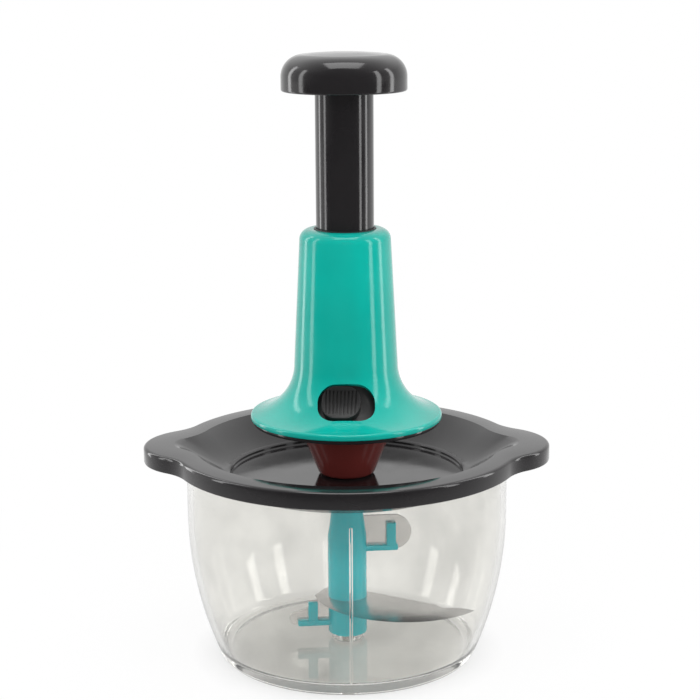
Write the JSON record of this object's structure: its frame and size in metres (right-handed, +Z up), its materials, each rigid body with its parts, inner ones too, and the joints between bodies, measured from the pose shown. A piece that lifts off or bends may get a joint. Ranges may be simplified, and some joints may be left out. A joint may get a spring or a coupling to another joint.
{
  "type": "push-down rotary food chopper",
  "caption": "Hand-press food chopper: palm knob on a plunger drives a spiral rod and clutch that spin a bladed post in a clear lidded bowl, with a slide lock.",
  "frame": {"origin": "centre of the bowl's flat base, on the surface it stands on", "axes": "+Z up along the plunger's axis, -Y towards the lock and the user, +X to the user's right"},
  "size_m": [0.19, 0.162, 0.2828],
  "materials": {
    "clear_plastic": "clear moulded plastic",
    "teal_plastic": "glossy teal plastic",
    "black_plastic": "glossy black plastic",
    "black_matte": "satin black plastic",
    "dark_red_plastic": "glossy dark red plastic",
    "steel": "ground and polished steel",
    "zinc": "zinc plated steel",
    "brass": "turned brass",
    "nylon": "natural nylon",
    "silicone": "grey silicone"
  },
  "bodies": {
    "bowl_unit": {"bowl": "clear_plastic", "bowl_pin": "steel"},
    "blade_unit": {"blade_post": "teal_plastic", "post_bush": "nylon", "upper_blade": "steel", "middle_blade": "steel", "lower_blade": "steel"},
    "lid_unit": {"lid": "black_plastic", "lid_seal": "silicone", "lid_clamp_nut": "black_matte", "pedestal": "dark_red_plastic", "bearing_plate": "zinc", "rod_bush": "brass", "hub_bush": "brass", "tower_base_plate": "black_plastic", "base_plate_screws": "zinc", "pedestal_screws": "zinc", "tower_housing": "teal_plastic", "guide_tube": "nylon", "guide_bush": "black_matte", "lock_ring_clip": "zinc", "return_spring": "steel"},
    "lock_unit": {"lock_ring": "nylon", "lock_slide_plate": "black_matte", "lock_button": "black_matte"},
    "plunger_unit": {"plunger_tube": "black_plastic", "push_knob": "black_plastic", "knob_base": "black_plastic", "knob_screw": "zinc", "drive_nut": "nylon"},
    "spiral_unit": {"spiral_rod": "steel", "ratchet_wheel": "zinc"},
    "hub_unit": {"drive_hub": "nylon", "ratchet_pawls": "zinc", "hub_clip": "zinc"}
  },
  "joints": [
    {"name": "lid_lift", "type": "slide", "parent": "bowl_unit", "child": "lid_unit", "axis": [0, 0, 1], "range_m": [0, 0.11]},
    {"name": "plunger_press", "type": "slide", "parent": "lid_unit", "child": "plunger_unit", "axis": [0, 0, 1], "range_m": [-0.05, 0], "stiffness_N_per_m": 250, "springref_m": 0.03, "deforming": ["return_spring"]},
    {"name": "lock_turn", "type": "hinge", "parent": "lid_unit", "child": "lock_unit", "pos_m": [0, 0, 0.122], "axis": [0, 0, 1], "range_deg": [0, 10]},
    {"name": "spiral_spin", "type": "hinge", "parent": "lid_unit", "child": "spiral_unit", "pos_m": [0, 0, 0], "axis": [0, 0, 1], "range_deg": [-720, 0]},
    {"name": "hub_spin", "type": "hinge", "parent": "lid_unit", "child": "hub_unit", "pos_m": [0, 0, 0], "axis": [0, 0, 1], "range_deg": [-720, 0]},
    {"name": "blade_spin", "type": "hinge", "parent": "bowl_unit", "child": "blade_unit", "pos_m": [0, 0, 0], "axis": [0, 0, 1], "range_deg": [-720, 0]}
  ],
  "couplings": [
    {"joint": "spiral_spin", "follows": "plunger_press", "rad_per_m": 251.33},
    {"joint": "hub_spin", "follows": "plunger_press", "rad_per_m": 251.33},
    {"joint": "blade_spin", "follows": "plunger_press", "rad_per_m": 251.33}
  ]
}
